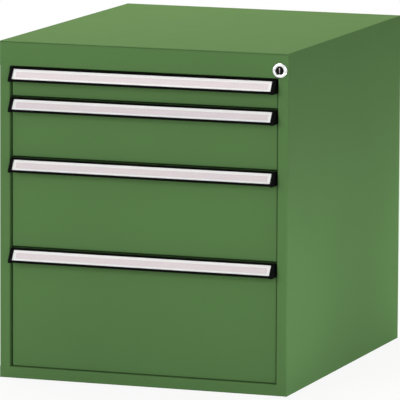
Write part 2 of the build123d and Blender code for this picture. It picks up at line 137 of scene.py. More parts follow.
class Signal:
    """One number or vector travelling through a shader; arithmetic on it adds Math nodes."""

    def __init__(self, graph: "ShaderGraph", socket: bpy.types.NodeSocket) -> None:
        """Keep the graph that owns the socket."""
        self.graph = graph
        self.socket = socket

    def __add__(self, other: "Operand") -> "Signal":
        """Sum of two values."""
        return self.graph.math("ADD", self, other)

    def __radd__(self, other: "Operand") -> "Signal":
        """Sum with a plain number in front."""
        return self.graph.math("ADD", other, self)

    def __sub__(self, other: "Operand") -> "Signal":
        """Difference of two values."""
        return self.graph.math("SUBTRACT", self, other)

    def __rsub__(self, other: "Operand") -> "Signal":
        """Difference from a plain number."""
        return self.graph.math("SUBTRACT", other, self)

    def __mul__(self, other: "Operand") -> "Signal":
        """Product of two values."""
        return self.graph.math("MULTIPLY", self, other)

    def __rmul__(self, other: "Operand") -> "Signal":
        """Product with a plain number in front."""
        return self.graph.math("MULTIPLY", other, self)

    def __truediv__(self, other: "Operand") -> "Signal":
        """Quotient of two values."""
        return self.graph.math("DIVIDE", self, other)

    def __rtruediv__(self, other: "Operand") -> "Signal":
        """Quotient under a plain number."""
        return self.graph.math("DIVIDE", other, self)

    def __abs__(self) -> "Signal":
        """Distance from zero."""
        return self.graph.math("ABSOLUTE", self)

    def least(self, other: "Operand") -> "Signal":
        """Smaller of two values."""
        return self.graph.math("MINIMUM", self, other)

    def root(self) -> "Signal":
        """Square root."""
        return self.graph.math("SQRT", self)

    def sine(self) -> "Signal":
        """Sine of an angle in radians."""
        return self.graph.math("SINE", self)

    def clamped(self) -> "Signal":
        """The value held between 0 and 1."""
        return self.graph.math("MULTIPLY", self, 1.0, clamp=True)

    def swing(self, amount: float) -> "Signal":
        """How far a noise departs from its middle, times an amount."""
        return (self - NOISE_MIDDLE) * amount

    def mixed(self, other: "Signal", share: float) -> "Signal":
        """This value with a share of another one in its place."""
        return self * (1 - share) + other * share


Operand = Union[Signal, float]


@dataclass(frozen=True)
class Layer:
    """One layer of soft noise: cells for each metre, octaves, and a factor along each axis."""

    scale: float
    detail: float
    stretch: Triple = EVEN


class ShaderGraph:
    """Node tree of one material or of the world."""

    def __init__(self, owner: Union[bpy.types.Material, bpy.types.World]) -> None:
        """Start with an empty tree.

        Args:
            owner: Material or world that the tree belongs to.
        """
        owner.use_nodes = True
        self.owner = owner
        self.tree = owner.node_tree
        self.tree.nodes.clear()
        self.places: dict[tuple[Triple, Triple], Signal] = {}

    @classmethod
    def of_material(cls, name: str) -> "ShaderGraph":
        """Start an empty material."""
        return cls(bpy.data.materials.new(name))

    def node(self, kind: str, settings: dict[str, Any], sockets: dict[Any, Any]) -> bpy.types.Node:
        """Add one node.

        Args:
            kind: Blender's name for the node type.
            settings: Properties of the node, set before its sockets.
            sockets: Input sockets by name or place, each given a signal or a constant.

        Returns:
            The new node.
        """
        made = self.tree.nodes.new(kind)
        for key, value in settings.items():
            setattr(made, key, value)
        for key, value in sockets.items():
            if isinstance(value, Signal):
                self.tree.links.new(value.socket, made.inputs[key])
            else:
                made.inputs[key].default_value = value
        return made

    def math(self, operation: str, *terms: Operand, clamp: bool = False) -> Signal:
        """Add a Math node.

        Args:
            operation: Blender's name for the operation.
            terms: The values that go into it, in order.
            clamp: Whether the result is held between 0 and 1.

        Returns:
            The result.
        """
        settings = {"operation": operation, "use_clamp": clamp}
        made = self.node("ShaderNodeMath", settings, dict(enumerate(terms)))
        return Signal(self, made.outputs[0])

    def place(self, scale: Triple = EVEN, centre: Triple = ORIGIN) -> Signal:
        """Object coordinates, moved to a centre and stretched, made once for each such pair.

        Args:
            scale: Factor along each axis.
            centre: Point in metres that becomes the origin.

        Returns:
            The coordinate vector.
        """
        key = (scale, centre)
        if key not in self.places:
            where = Signal(self, self.node("ShaderNodeTexCoord", {}, {}).outputs["Object"])
            offset = tuple(-c * s for c, s in zip(centre, scale))
            sockets = {"Vector": where, "Location": offset, "Scale": scale}
            self.places[key] = Signal(self, self.node("ShaderNodeMapping", {}, sockets).outputs["Vector"])
        return self.places[key]

    def axes(self, where: Signal) -> tuple[Signal, Signal, Signal]:
        """Split a coordinate vector into its three numbers."""
        made = self.node("ShaderNodeSeparateXYZ", {}, {"Vector": where})
        return tuple(Signal(self, socket) for socket in made.outputs)

    def noise(self, layer: Layer) -> Signal:
        """Soft noise around its middle, as one layer asks."""
        sockets = {"Vector": self.place(layer.stretch), "Scale": layer.scale, "Detail": layer.detail}
        return Signal(self, self.node("ShaderNodeTexNoise", {}, sockets).outputs[0])

    def cells(self, scale: float) -> Signal:
        """Flat cells, each with its own chance value.

        Args:
            scale: Number of cells for each metre.

        Returns:
            A value from 0 to 1.
        """
        made = self.node("ShaderNodeTexVoronoi", {}, {"Vector": self.place(), "Scale": scale})
        chance = self.node("ShaderNodeSeparateColor", {}, {"Color": Signal(self, made.outputs["Color"])})
        return Signal(self, chance.outputs["Red"])

    def blend(self, share: Operand, low: Union[Signal, Triple], high: Union[Signal, Triple]) -> Signal:
        """Go from one colour to another.

        Args:
            share: Share of the second colour, from 0 to 1.
            low: The first colour.
            high: The second colour.

        Returns:
            The mixed colour.
        """
        ends = [end if isinstance(end, Signal) else (*end, OPAQUE) for end in (low, high)]
        sockets = {MIX_SHARE: share, MIX_LOW: ends[0], MIX_HIGH: ends[1]}
        made = self.node("ShaderNodeMix", {"data_type": "RGBA"}, sockets)
        return Signal(self, made.outputs[MIX_RESULT])

    def bump(self, height: Signal, depth: float) -> Signal:
        """Surface normal bent by a height of 0 to 1 times a depth in metres."""
        sockets = {"Height": height, "Distance": depth, "Strength": 1.0}
        return Signal(self, self.node("ShaderNodeBump", {}, sockets).outputs["Normal"])

    def shader(self, kind: str, sockets: dict[Any, Any]) -> Signal:
        """Add a shader node and give its output."""
        return Signal(self, self.node(kind, {}, sockets).outputs[0])

    def mixed_shader(self, share: Signal, first: Signal, second: Signal) -> Signal:
        """Shader that goes from the first to the second with a share from 0 to 1."""
        return self.shader("ShaderNodeMixShader", dict(enumerate((share, first, second))))

    def backdrop_share(self) -> Signal:
        """Tell the rays that show the backdrop: to the camera, in a reflection or through plastic.

        Returns:
            A share of 1 on those rays and of 0 on the others.
        """
        rays = self.node("ShaderNodeLightPath", {}, {}).outputs
        kinds = ("Is Camera Ray", "Is Glossy Ray", "Is Transmission Ray")
        camera, glossy, through = (Signal(self, rays[kind]) for kind in kinds)
        return (camera + glossy + through).clamped()

    def finish(self, sockets: dict[str, Any]) -> bpy.types.Material:
        """Close the tree with a Principled surface.

        Args:
            sockets: Inputs of the Principled shader.

        Returns:
            The finished material.
        """
        surface = self.shader("ShaderNodeBsdfPrincipled", sockets)
        self.node("ShaderNodeOutputMaterial", {}, {"Surface": surface})
        return self.owner


@dataclass(frozen=True)
class PowderCoat:
    """Baked powder paint: slow tone drift, fine speckle and an orange-peel skin."""

    name: str
    colour: Triple
    roughness: float = 0.68
    specular: float = 0.02
    drift: float = 0.07
    slow: Layer = Layer(3.5, 3.0)
    slow_gloss: float = 0.08
    speckle: Layer = Layer(1900.0, 1.0)
    speckle_share: float = 0.2
    rubbed: Layer = Layer(3.0, 4.0, (6.0, 6.0, 60.0))
    rubbed_gloss: float = 0.12
    peel: Layer = Layer(520.0, 1.5)
    peel_depth: float = 0.03 * MM
    sag: Layer = Layer(5.0, 1.0)
    sag_depth: float = 0.6 * MM

    def material(self) -> bpy.types.Material:
        """Write the paint's shader: the fine peel lies on the slow sag of the sheet.

        Returns:
            The paint.
        """
        graph = ShaderGraph.of_material(self.name)
        slow = graph.noise(self.slow)
        tone = slow.mixed(graph.noise(self.speckle), self.speckle_share)
        rubbed = graph.noise(self.rubbed)
        gloss = slow.swing(self.slow_gloss) + rubbed.swing(self.rubbed_gloss)
        relief = graph.noise(self.sag) + graph.noise(self.peel) * (self.peel_depth / self.sag_depth)
        return graph.finish(
            {
                "Base Color": graph.blend(tone, *around(self.colour, self.drift)),
                "Roughness": self.roughness + gloss,
                "Normal": graph.bump(relief, self.sag_depth),
                "Specular IOR Level": self.specular,
            }
        )


@dataclass(frozen=True)
class AnodisedBlack:
    """Black anodised extrusion with faint lines along its length."""

    name: str
    colour: Triple
    roughness: float = 0.5
    specular: float = 0.03
    drift: float = 0.25
    cloud: Layer = Layer(14.0, 3.0)
    cloud_gloss: float = 0.1
    lines: Layer = Layer(2600.0, 2.0, (0.01, 1.0, 1.0))
    line_share: float = 0.4
    line_gloss: float = 0.2
    line_depth: float = 0.006 * MM

    def material(self) -> bpy.types.Material:
        """Write the extrusion's shader.

        Returns:
            The anodised finish.
        """
        graph = ShaderGraph.of_material(self.name)
        lines = graph.noise(self.lines)
        cloud = graph.noise(self.cloud)
        tone = cloud.mixed(lines, self.line_share)
        gloss = lines.swing(self.line_gloss) + cloud.swing(self.cloud_gloss)
        return graph.finish(
            {
                "Base Color": graph.blend(tone, *around(self.colour, self.drift)),
                "Roughness": self.roughness + gloss,
                "Normal": graph.bump(lines, self.line_depth),
                "Specular IOR Level": self.specular,
            }
        )


@dataclass(frozen=True)
class GrainedPlastic:
    """Moulded plastic or rubber with a fine grain."""

    name: str
    colour: Triple
    roughness: float = 0.5
    specular: float = 0.03
    drift: float = 0.2
    cloud: Layer = Layer(30.0, 3.0)
    cloud_gloss: float = 0.12
    grain: Layer = Layer(2400.0, 1.0)
    grain_share: float = 0.3
    grain_gloss: float = 0.08
    grain_depth: float = 0.02 * MM

    def material(self) -> bpy.types.Material:
        """Write the plastic's shader.

        Returns:
            The plastic.
        """
        graph = ShaderGraph.of_material(self.name)
        grain = graph.noise(self.grain)
        cloud = graph.noise(self.cloud)
        tone = cloud.mixed(grain, self.grain_share)
        gloss = cloud.swing(self.cloud_gloss) + grain.swing(self.grain_gloss)
        return graph.finish(
            {
                "Base Color": graph.blend(tone, *around(self.colour, self.drift)),
                "Roughness": self.roughness + gloss,
                "Normal": graph.bump(grain, self.grain_depth),
                "Specular IOR Level": self.specular,
            }
        )


@dataclass(frozen=True)
class ZincPlate:
    """Zinc plated sheet with a soft spangle and rolling lines along Y."""

    name: str
    colour: Triple
    roughness: float = 0.4
    metallic: float = 1.0
    drift: float = 0.14
    spangle_scale: float = 160.0
    spangle_share: float = 0.35
    spangle_gloss: float = 0.08
    cloud: Layer = Layer(18.0, 4.0)
    cloud_share: float = 0.45
    cloud_gloss: float = 0.14
    rolled: Layer = Layer(1500.0, 2.0, (1.0, 0.02, 1.0))
    rolled_share: float = 0.2
    rolled_depth: float = 0.006 * MM

    def material(self) -> bpy.types.Material:
        """Write the plate's shader.

        Returns:
            The plated finish.
        """
        graph = ShaderGraph.of_material(self.name)
        spangle = graph.cells(self.spangle_scale)
        cloud = graph.noise(self.cloud)
        rolled = graph.noise(self.rolled)
        tone = spangle * self.spangle_share + cloud * self.cloud_share + rolled * self.rolled_share
        gloss = spangle.swing(self.spangle_gloss) + cloud.swing(self.cloud_gloss)
        return graph.finish(
            {
                "Base Color": graph.blend(tone, *around(self.colour, self.drift)),
                "Roughness": self.roughness + gloss,
                "Normal": graph.bump(rolled, self.rolled_depth),
                "Metallic": self.metallic,
            }
        )


@dataclass(frozen=True)
class TurnedMetal:
    """Metal turned on a lathe about the lock's axis, with fine rings."""

    name: str
    colour: Triple
    centre: Triple
    roughness: float = 0.14
    metallic: float = 1.0
    specular: float = 0.5
    drift: float = 0.08
    cloud: Layer = Layer(220.0, 3.0)
    cloud_gloss: float = 0.1
    ring_scale: float = 9000.0
    ring_depth: float = 0.004 * MM

    def material(self) -> bpy.types.Material:
        """Write the metal's shader: the rings are the sine of the distance from the axis.

        Returns:
            The turned finish.
        """
        graph = ShaderGraph.of_material(self.name)
        across, _, up = graph.axes(graph.place(centre=self.centre))
        distance = (across * across + up * up).root()
        rings = (distance * self.ring_scale).sine() * NOISE_MIDDLE + NOISE_MIDDLE
        cloud = graph.noise(self.cloud)
        return graph.finish(
            {
                "Base Color": graph.blend(cloud, *around(self.colour, self.drift)),
                "Roughness": self.roughness + cloud.swing(self.cloud_gloss),
                "Normal": graph.bump(rings, self.ring_depth),
                "Metallic": self.metallic,
                "Specular IOR Level": self.specular,
            }
        )


@dataclass(frozen=True)
class LabelCard:
    """Printed card: a pale tinted field inside a white margin, with a little paper fibre."""

    name: str
    half_width: float
    low: float
    high: float
    paper: Triple = Tint.PAPER.linear
    field_cool: Triple = Tint.PRINT_COOL.linear
    field_warm: Triple = Tint.PRINT_WARM.linear
    margin_side: float = 5.5 * MM
    margin_end: float = 4.3 * MM
    soft: float = 0.6 * MM
    roughness: float = 0.75
    specular: float = 0.2
    drift: float = 0.02
    fibre: Layer = Layer(900.0, 3.0)
    fibre_gloss: float = 0.2
    fibre_depth: float = 0.01 * MM
    tint: Layer = Layer(14.0, 2.0, (1.0, 0.2, 0.2))

    def material(self) -> bpy.types.Material:
        """Write the card's shader: a share of 1 inside the margins falls to 0 over a soft edge.

        Returns:
            The printed card.
        """
        graph = ShaderGraph.of_material(self.name)
        across, _, up = graph.axes(graph.place())
        side = (self.half_width - self.margin_side - abs(across)) / self.soft
        middle = (self.low + self.high) / 2
        reach = (self.high - self.low) / 2 - self.margin_end
        end = (reach - abs(up - middle)) / self.soft
        inside = side.least(end).clamped()
        fibre = graph.noise(self.fibre)
        printed = graph.blend(graph.noise(self.tint), self.field_cool, self.field_warm)
        bare = graph.blend(fibre, *around(self.paper, self.drift))
        return graph.finish(
            {
                "Base Color": graph.blend(inside, bare, printed),
                "Roughness": self.roughness + fibre.swing(self.fibre_gloss),
                "Normal": graph.bump(fibre, self.fibre_depth),
                "Specular IOR Level": self.specular,
            }
        )


@dataclass(frozen=True)
class ClearStrip:
    """Clear plastic strip with a faint haze of handling marks."""

    name: str
    colour: Triple
    alpha: float = 0.06
    roughness: float = 0.12
    specular: float = 0.5
    drift: float = 0.03
    haze: Layer = Layer(40.0, 4.0)
    haze_gloss: float = 0.1
    haze_alpha: float = 0.04
    marks: Layer = Layer(1800.0, 1.0, (0.05, 1.0, 1.0))
    mark_gloss: float = 0.05
    mark_depth: float = 0.003 * MM

    def material(self) -> bpy.types.Material:
        """Write the strip's shader.

        Returns:
            The clear plastic.
        """
        graph = ShaderGraph.of_material(self.name)
        haze = graph.noise(self.haze)
        marks = graph.noise(self.marks)
        return graph.finish(
            {
                "Base Color": graph.blend(haze, *around(self.colour, self.drift)),
                "Roughness": self.roughness + haze * self.haze_gloss + marks * self.mark_gloss,
                "Alpha": self.alpha + haze.swing(self.haze_alpha),
                "Normal": graph.bump(marks, self.mark_depth),
                "Specular IOR Level": self.specular,
            }
        )


@dataclass
class Finishes:
    """Every material that pieces share, written once."""

    lock_centre: Triple
    green: bpy.types.Material = field(init=False)
    grey: bpy.types.Material = field(init=False)
    zinc: bpy.types.Material = field(init=False)
    handle: bpy.types.Material = field(init=False)
    plastic: bpy.types.Material = field(init=False)
    cover: bpy.types.Material = field(init=False)
    chrome: bpy.types.Material = field(init=False)
    plug: bpy.types.Material = field(init=False)
    shutter: bpy.types.Material = field(init=False)
    rubber: bpy.types.Material = field(init=False)
    grey_roughness: float = 0.45
    plug_roughness: float = 0.45
    plug_specular: float = 0.06
    shutter_roughness: float = 0.35
    rubber_roughness: float = 0.8
    rubber_grain: Layer = Layer(1200.0, 1.0)
    rubber_grain_depth: float = 0.05 * MM

    def __post_init__(self) -> None:
        """Write the materials."""
        self.green = PowderCoat("green_paint", Tint.LEAF_GREEN.linear).material()
        self.grey = PowderCoat("grey_paint", Tint.LIGHT_GREY.linear, self.grey_roughness).material()
        self.zinc = ZincPlate("zinc_plate", Tint.ZINC.linear).material()
        self.handle = AnodisedBlack("black_anodised", Tint.ANODISED_BLACK.linear).material()
        self.plastic = GrainedPlastic("black_plastic", Tint.MOULDED_BLACK.linear).material()
        self.cover = ClearStrip("clear_strip", Tint.CLEAR.linear).material()
        self.chrome = TurnedMetal("nickel_plate", Tint.NICKEL.linear, self.lock_centre).material()
        # The plug's near-black colour is partly painted shade of the lock's recess, laid over a dark
        # plug.
        self.plug = TurnedMetal(
            "plug_shade_black",
            Tint.PLUG_SHADE_BLACK.linear,
            self.lock_centre,
            roughness=self.plug_roughness,
            metallic=0.0,
            specular=self.plug_specular,
        ).material()
        self.shutter = TurnedMetal(
            "shutter_steel",
            Tint.SHUTTER_STEEL.linear,
            self.lock_centre,
            roughness=self.shutter_roughness,
        ).material()
        self.rubber = GrainedPlastic(
            "black_rubber",
            Tint.RUBBER_BLACK.linear,
            roughness=self.rubber_roughness,
            grain=self.rubber_grain,
            grain_depth=self.rubber_grain_depth,
        ).material()


@dataclass(frozen=True)
class Home:
    """Where a new piece belongs: the body that carries it, its slot and its material."""

    body: str
    slot: str
    material: bpy.types.Material


class Axis(Enum):
    """Direction that a small turned piece points in, as the rows of its turning matrix."""

    RIGHT = ((0.0, 1.0, 0.0), (0.0, 0.0, 1.0), (1.0, 0.0, 0.0))
    LEFT = ((0.0, 0.0, 1.0), (0.0, 1.0, 0.0), (-1.0, 0.0, 0.0))
    FRONT = ((1.0, 0.0, 0.0), (0.0, 0.0, 1.0), (0.0, -1.0, 0.0))
    BACK = ((-1.0, 0.0, 0.0), (0.0, 0.0, 1.0), (0.0, 1.0, 0.0))


class Fold(Enum):
    """Where the fold lies beside the seam that a weld closes, as the sign of its rise."""

    UNDER = 1
    OVER = -1


def paint(nodes: Iterable[str], material: bpy.types.Material) -> list[str]:
    """Give CAD nodes one material in place of what the pack wrote.

    Args:
        nodes: Names of the nodes.
        material: Their finish.

    Returns:
        The names of the nodes.
    """
    names = list(nodes)
    for name in names:
        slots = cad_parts[name].data.materials
        slots.clear()
        slots.append(material)
    return names


def add_piece(name: str, points: np.ndarray, faces: list[list[int]], home: Home) -> bpy.types.Object:
    """Make one new piece at the origin and let it ride a body.

    Args:
        name: Name of the piece.
        points: Points in the shared frame, in an array whose last axis is x, y and z.
        faces: Point numbers of each face.
        home: Body and material of the piece.

    Returns:
        The new object.
    """
    mesh = bpy.data.meshes.new(name)
    mesh.from_pydata(points.reshape(-1, 3).tolist(), [], faces)
    mesh.validate()
    mesh.shade_smooth()
    mesh.set_sharp_from_angle(angle=SHARP_FOLD)
    made = bpy.data.objects.new(name, mesh)
    bpy.context.scene.collection.objects.link(made)
    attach(made, home.body)
    mesh.materials.append(home.material)
    return made


def seats_at(across: Ordinate, along: Ordinate, level: Ordinate) -> np.ndarray:
    """Rows of seat points from three coordinates, of which any may be one number for all."""
    return np.stack(np.broadcast_arrays(across, along, level), axis=-1)


def grid_faces(
    rows: int, columns: int, wrap_rows: bool = False, wrap_columns: bool = False
) -> np.ndarray:
    """Quads of one grid of points, facing along the cross product of the two parameters.

    Args:
        rows: Points along the first parameter.
        columns: Points along the second parameter.
        wrap_rows: Whether the last row joins the first.
        wrap_columns: Whether the last column joins the first.

    Returns:
        An array of four point numbers for each face.
    """
    down = np.arange(rows if wrap_rows else rows - 1)
    along = np.arange(columns if wrap_columns else columns - 1)
    row, column = np.meshgrid(down, along, indexing="ij")
    next_row = (row + 1) % rows
    next_column = (column + 1) % columns
    corners = [(row, column), (next_row, column), (next_row, next_column), (row, next_column)]
    return np.stack([r * columns + c for r, c in corners], axis=-1).reshape(-1, 4)


def turned(profile: np.ndarray, sides: int, axis: Axis) -> np.ndarray:
    """Points of a surface of revolution round the origin.

    Each row of the profile gives a ring: its radius times the cosine and sine of the angle,
    at its height along the axis.

    Args:
        profile: Rows of radius and height.
        sides: Points in each ring.
        axis: Direction that the heights are measured in.

    Returns:
        An array of rings of points.
    """
    angle = np.linspace(0.0, 2 * math.pi, sides, endpoint=False)
    ring = np.stack([np.cos(angle), np.sin(angle)], axis=-1)
    flat = profile[:, None, :1] * ring[None, :, :]
    rise = np.broadcast_to(profile[:, None, 1:], (*flat.shape[:2], 1))
    return np.concatenate([flat, rise], axis=-1) @ np.array(axis.value)


@dataclass(frozen=True)
class ScrewHead:
    """Low pan head with a round driving recess, as a surface of revolution."""

    radius: float
    height: float
    recess_radius: float
    recess_depth: float
    recess_floor_share: float = 0.5
    dome_drop_share: float = 0.75
    dome_power: int = 4
    dome_steps: int = 9
    sides: int = 32

    def profile(self) -> np.ndarray:
        """Radius and height along the head, from the recess floor out over the dome to the rim.

        Returns:
            Rows of radius and height. The dome falls by a share of its height times a power of the
            way out to the rim.
        """
        out = np.linspace(self.recess_radius, self.radius, self.dome_steps)
        share = (out - self.recess_radius) / (self.radius - self.recess_radius)
        dome = np.stack([out, self.height * (1 - self.dome_drop_share * share**self.dome_power)], axis=-1)
        floor = self.height - self.recess_depth
        inner = self.recess_radius * self.recess_floor_share
        recess = np.array([[inner, floor], [self.recess_radius, floor]])
        return np.concatenate([recess, dome, [[self.radius, 0.0]]])

    def build(self, name: str, seats: np.ndarray, axis: Axis, home: Home) -> bpy.types.Object:
        """Turn the profile about its axis at every seat.

        Args:
            name: Name of the piece.
            seats: Rows of seat points in metres.
            axis: Direction that the heads point in.
            home: Body and material of the heads.

        Returns:
            One object with all the heads.
        """
        head = turned(self.profile(), self.sides, axis)
        points = seats[:, None, None, :] + head[None]
        count = head.shape[0] * self.sides
        starts = np.arange(len(seats))[:, None] * count
        walls = grid_faces(*head.shape[:2], wrap_columns=True)
        faces = (starts[:, :, None] + walls[None]).reshape(-1, 4).tolist()
        faces += (starts + np.arange(self.sides)).tolist()
        faces += (starts + np.arange(count - self.sides, count)[::-1]).tolist()
        return add_piece(name, points, faces, home)


@dataclass(frozen=True)
class WeldFill:
    """Dressed weld in the groove beside a fold: a section carried along X between two stations."""

    radius: float = 2.0 * MM
    steps: int = 9

    def section(self) -> np.ndarray:
        """Depth behind the face and height over the groove's foot, clockwise seen from +X.

        Returns:
            Rows of depth and height: back along the sheet's end, down the quarter circle of the
            fold and, closing the section, up the flush face.
        """
        turn = np.linspace(math.pi / 2, 0.0, self.steps)
        quarter = np.stack([1 - np.cos(turn), np.sin(turn)], axis=-1)
        return self.radius * np.concatenate([[[0.0, 1.0]], quarter])

    def build(
        self, name: str, ends: tuple[float, float], face: float, seam: float, fold: Fold, home: Home
    ) -> bpy.types.Object:
        """Carry the section from one end to the other.

        Args:
            name: Name of the piece.
            ends: Lower and higher X of the weld.
            face: Y of the flush face.
            seam: Z of the sheet's end that the weld joins.
            fold: Side of the seam that the fold lies on.
            home: Body and material of the weld.

        Returns:
            The weld.
        """
        depth, height = self.section()[:: fold.value].T
        count = len(depth)
        rise = fold.value * (height - self.radius)
        outline = np.stack([np.zeros(count), face + depth, seam + rise], axis=-1)
        points = outline[None] + np.array(ends)[:, None, None] * RIGHTWARD
        first = np.arange(count)
        faces = grid_faces(len(ends), count, wrap_columns=True).tolist()
        faces += [first.tolist(), (first[::-1] + count).tolist()]
        return add_piece(name, points, faces, home)


@dataclass(frozen=True)
class Rosette:
    """Domed ring round the lock: a closed section carried once round the lock's axis."""

    radius: float
    height: float
    rim: float = 1.0 * MM
    crest_radius: float = 9.2 * MM
    hole_radius: float = 7.2 * MM
    hole_drop: float = 1.2 * MM
    seat_radius: float = 10.7 * MM
    seat_depth: float = 1.5 * MM
    sides: int = 96
    steps: int = 20

    def section(self) -> np.ndarray:
        """Radius and height along the closed section, from the hole's lip out over the dome.

        Returns:
            Rows of radius and height. A quarter of an ellipse rises from the hole to the crest,
            another falls from the crest to the rim, and the seat behind closes the section.
        """
        turn = np.linspace(0.0, math.pi / 2, self.steps)
        lip_radius = self.hole_radius + (self.crest_radius - self.hole_radius) * (1 - np.cos(turn))
        lip = np.stack([lip_radius, self.height - self.hole_drop * (1 - np.sin(turn))], axis=-1)
        dome_radius = self.crest_radius + (self.radius - self.crest_radius) * np.sin(turn)
        dome = np.stack([dome_radius, self.rim + (self.height - self.rim) * np.cos(turn)], axis=-1)
        foot = [[self.radius, 0.0], [self.seat_radius, 0.0]]
        seat = [[self.seat_radius, self.seat_depth], [self.hole_radius, self.seat_depth]]
        return np.concatenate([lip, dome[1:], foot, seat])

    def build(self, name: str, seat: Triple, home: Home) -> bpy.types.Object:
        """Carry the section round the axis.

        Args:
            name: Name of the piece.
            seat: Point of the fascia on the lock's axis.
            home: Body and material of the ring.

        Returns:
            The ring.
        """
        ring = turned(self.section(), self.sides, Axis.FRONT)
        faces = grid_faces(*ring.shape[:2], wrap_rows=True, wrap_columns=True).tolist()
        return add_piece(name, ring + np.array(seat), faces, home)


@dataclass
class Cabinet:
    """Painted shell, its uprights, rails, buffers and bar guides."""

    finishes: Finishes
    rivet: ScrewHead = ScrewHead(3.2 * MM, 1.1 * MM, 1.0 * MM, 0.5 * MM)
    rivet_rise: float = 8.0 * MM
    rivet_reach: float = 190.0 * MM
    rivet_count: int = 5
    weld: WeldFill = WeldFill()
    post_width: float = 18.0 * MM
    bay_gap: float = 0.75 * MM

    @property
    def home(self) -> Home:
        """Home of the pieces that are painted with the shell."""
        return Home("cabinet", "cabinet_paint", self.finishes.green)

    def build(self) -> list[str]:
        """Dress the cabinet's nodes, add its own pieces and give all their names."""
        return self.dress() + self.add_rivets() + self.add_welds()

    def dress(self) -> list[str]:
        """Give every node of the cabinet its finish.

        Returns:
            The names of the nodes.
        """
        shell = [f"{wall}_panel" for wall in ("left_side", "right_side", "top", "bottom", "back")]
        plated = [f"{side}_{end}_upright" for side in ("left", "right") for end in ("front", "rear")]
        plated += ["left_cabinet_rails", "right_cabinet_rails"]
        names = paint(shell + ["top_rail"], self.finishes.green)
        names += paint(plated, self.finishes.zinc)
        names += paint(["drawer_buffers"], self.finishes.rubber)
        return names + paint(["bar_guides"], self.finishes.plastic)

    def add_rivets(self) -> list[str]:
        """Rivet the back panel to the floor's upstand.

        Returns:
            The name of the piece.
        """
        across = np.linspace(-self.rivet_reach, self.rivet_reach, self.rivet_count)
        seats = seats_at(across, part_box("back_panel")[1].y, self.rivet_rise)
        return [self.rivet.build("back_rivets", seats, Axis.BACK, self.home).name]

    def add_welds(self) -> list[str]:
        """Close the grooves where the posts meet the rails above and below them.

        Returns:
            The names of the four welds.
        """
        rail_low, rail_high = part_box("top_rail")
        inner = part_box("right_side_panel")[1].x - self.post_width
        bay_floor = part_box(f"drawer_{DRAWER_COUNT}_front")[0].z - self.bay_gap
        stretches = {"left": (rail_low.x, -inner), "right": (inner, rail_high.x)}
        seams = {"base": (bay_floor, Fold.UNDER), "top": (rail_low.z, Fold.OVER)}
        names = []
        for level, (seam, fold) in seams.items():
            for side, ends in stretches.items():
                weld = self.weld.build(f"{side}_{level}_weld", ends, rail_low.y, seam, fold, self.home)
                names.append(weld.name)
        return names


@dataclass
class Lock:
    """Cylinder lock with its cam and bar."""

    finishes: Finishes
    centre: Triple
    shutter_half_width: float = 0.9 * MM
    shutter_half_height: float = 4.3 * MM
    shutter_depth: float = 0.7 * MM
    shutter_bulge: float = 0.35 * MM
    shutter_thickness: float = 0.4 * MM
    shutter_inward: float = -1.0
    shutter_columns: int = 9
    shutter_rows: int = 25

    def build(self) -> list[str]:
        """Dress the lock's nodes, add its own pieces and give all their names."""
        return self.dress() + self.add_rosette() + self.add_shutter()

    def dress(self) -> list[str]:
        """Give every node of the lock its finish.

        Returns:
            The names of the nodes.
        """
        names = paint(["lock_body"], self.finishes.chrome)
        names += paint(["lock_plug"], self.finishes.plug)
        return names + paint(["lock_nut", "lock_cam", "locking_bar"], self.finishes.zinc)

    def add_rosette(self) -> list[str]:
        """Put the smooth ring in the place of the plain one.

        Returns:
            The name of the ring.
        """
        low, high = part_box("lock_rosette")
        seat = (self.centre[0], high.y, self.centre[2])
        home = Home("cabinet", "lock_chrome", self.finishes.chrome)
        ring = Rosette((high.x - low.x) / 2, high.y - low.y).build("lock_ring", seat, home)
        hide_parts("lock_rosette")
        return [ring.name]

    def add_shutter(self) -> list[str]:
        """Close the key slot with a sprung plate.

        The plate is a sheet over two parameters from -1 to 1, across and up. Its face bulges
        forward by one minus across squared, times one minus up to the fourth power.

        Returns:
            The name of the plate.
        """
        columns = np.linspace(-1, 1, self.shutter_columns)
        rows = np.linspace(-1, 1, self.shutter_rows)
        across, up = np.meshgrid(columns, rows, indexing="ij")
        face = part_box("lock_plug")[0].y + self.shutter_depth
        bulge = self.shutter_bulge * (1 - across**2) * (1 - up**4)
        x = self.centre[0] + self.shutter_half_width * across
        z = self.centre[2] + self.shutter_half_height * up
        points = np.stack([x, face - bulge, z], axis=-1)
        home = Home("lock_plug", "lock_chrome", self.finishes.shutter)
        plate = add_piece("key_shutter", points, grid_faces(*across.shape).tolist(), home)
        solid = plate.modifiers.new("thickness", "SOLIDIFY")
        solid.thickness = self.shutter_thickness
        solid.offset = self.shutter_inward
        return [plate.name]


